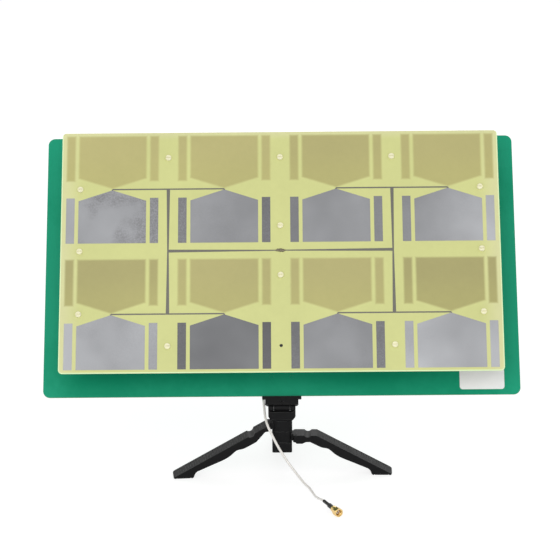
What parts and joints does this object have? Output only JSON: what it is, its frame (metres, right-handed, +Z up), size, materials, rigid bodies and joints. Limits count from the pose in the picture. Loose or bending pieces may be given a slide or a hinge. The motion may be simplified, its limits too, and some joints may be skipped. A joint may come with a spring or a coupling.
{
  "type": "panel antenna",
  "caption": "Flat wideband panel antenna: printed dipole board on nylon spacers before a reflector board, leaning on a folding mini tripod, with a coax lead and screw-on plug.",
  "frame": {"origin": "on the table, below the middle of the object's box without its lead and plug", "axes": "+Z up, +X to the right seen from the dipole side, +Y towards the back of the panel"},
  "size_m": [0.48, 0.2696, 0.3335],
  "materials": {
    "board_epoxy": "satin translucent glass-epoxy",
    "tinned_copper": "dull tinned",
    "solder": "dull",
    "solder_mask": "green satin mask",
    "label": "white film",
    "nylon": "natural white",
    "black_oxide": "black",
    "rubber": "matt",
    "coax_jacket": "pale translucent jacket",
    "bracket_paint": "black powder coat",
    "zinc_steel": "zinc plated",
    "tripod_plastic": "black fine-grained",
    "shrink_tube": "black",
    "gold_plate": "gold plated",
    "ptfe": "white",
    "silicone": "red-orange"
  },
  "bodies": {
    "tripod_head": {"head_yoke": "tripod_plastic", "tilt_pin": "zinc_steel", "tilt_nut": "zinc_steel", "hub_washer": "zinc_steel", "hub_screw": "zinc_steel", "coax_lower": "coax_jacket", "heat_shrink": "shrink_tube", "crimp_ferrule": "gold_plate", "plug_body": "gold_plate", "plug_insulator": "ptfe", "plug_pin": "gold_plate", "plug_gasket": "silicone"},
    "panel": {"antenna_board": "board_epoxy", "front_copper": "tinned_copper", "rear_copper": "tinned_copper", "feed_solder": "solder", "reflector_board": "solder_mask", "blank_label": "label", "standoffs": "nylon", "front_screws": "nylon", "rear_screws": "nylon", "bracket_stud": "black_oxide", "cable_grommet": "rubber", "feed_coax": "coax_jacket", "mount_bracket": "bracket_paint", "bracket_screws": "black_oxide", "bracket_nuts": "zinc_steel", "head_platform": "tripod_plastic", "camera_stud": "zinc_steel", "camera_nut": "zinc_steel", "coax_upper": "coax_jacket"},
    "leg_left": {"left_leg": "tripod_plastic", "left_foot_pad": "rubber"},
    "leg_right": {"right_leg": "tripod_plastic", "right_foot_pad": "rubber"},
    "leg_back": {"back_leg": "tripod_plastic", "back_foot_pad": "rubber"},
    "nut": {"coupling_nut": "gold_plate"}
  },
  "joints": [
    {"name": "panel_tilt", "type": "hinge", "parent": "tripod_head", "child": "panel", "pos_m": [0, -0.04884, 0.068], "axis": [1, 0, 0], "range_deg": [-14, 31]},
    {"name": "left_leg_swing", "type": "hinge", "parent": "tripod_head", "child": "leg_left", "pos_m": [0, -0.04884, 0.052], "axis": [0, 0, 1], "range_deg": [-20, 12]},
    {"name": "right_leg_swing", "type": "hinge", "parent": "tripod_head", "child": "leg_right", "pos_m": [0, -0.04884, 0.04], "axis": [0, 0, 1], "range_deg": [-28, 20]},
    {"name": "back_leg_swing", "type": "hinge", "parent": "tripod_head", "child": "leg_back", "pos_m": [0, -0.04884, 0.029], "axis": [0, 0, 1], "range_deg": [-20, 20]},
    {"name": "nut_spin", "type": "hinge", "parent": "tripod_head", "child": "nut", "pos_m": [0.05269, -0.1737, 0.0048], "axis": [0.3907, -0.9205, 0], "continuous": true}
  ]
}
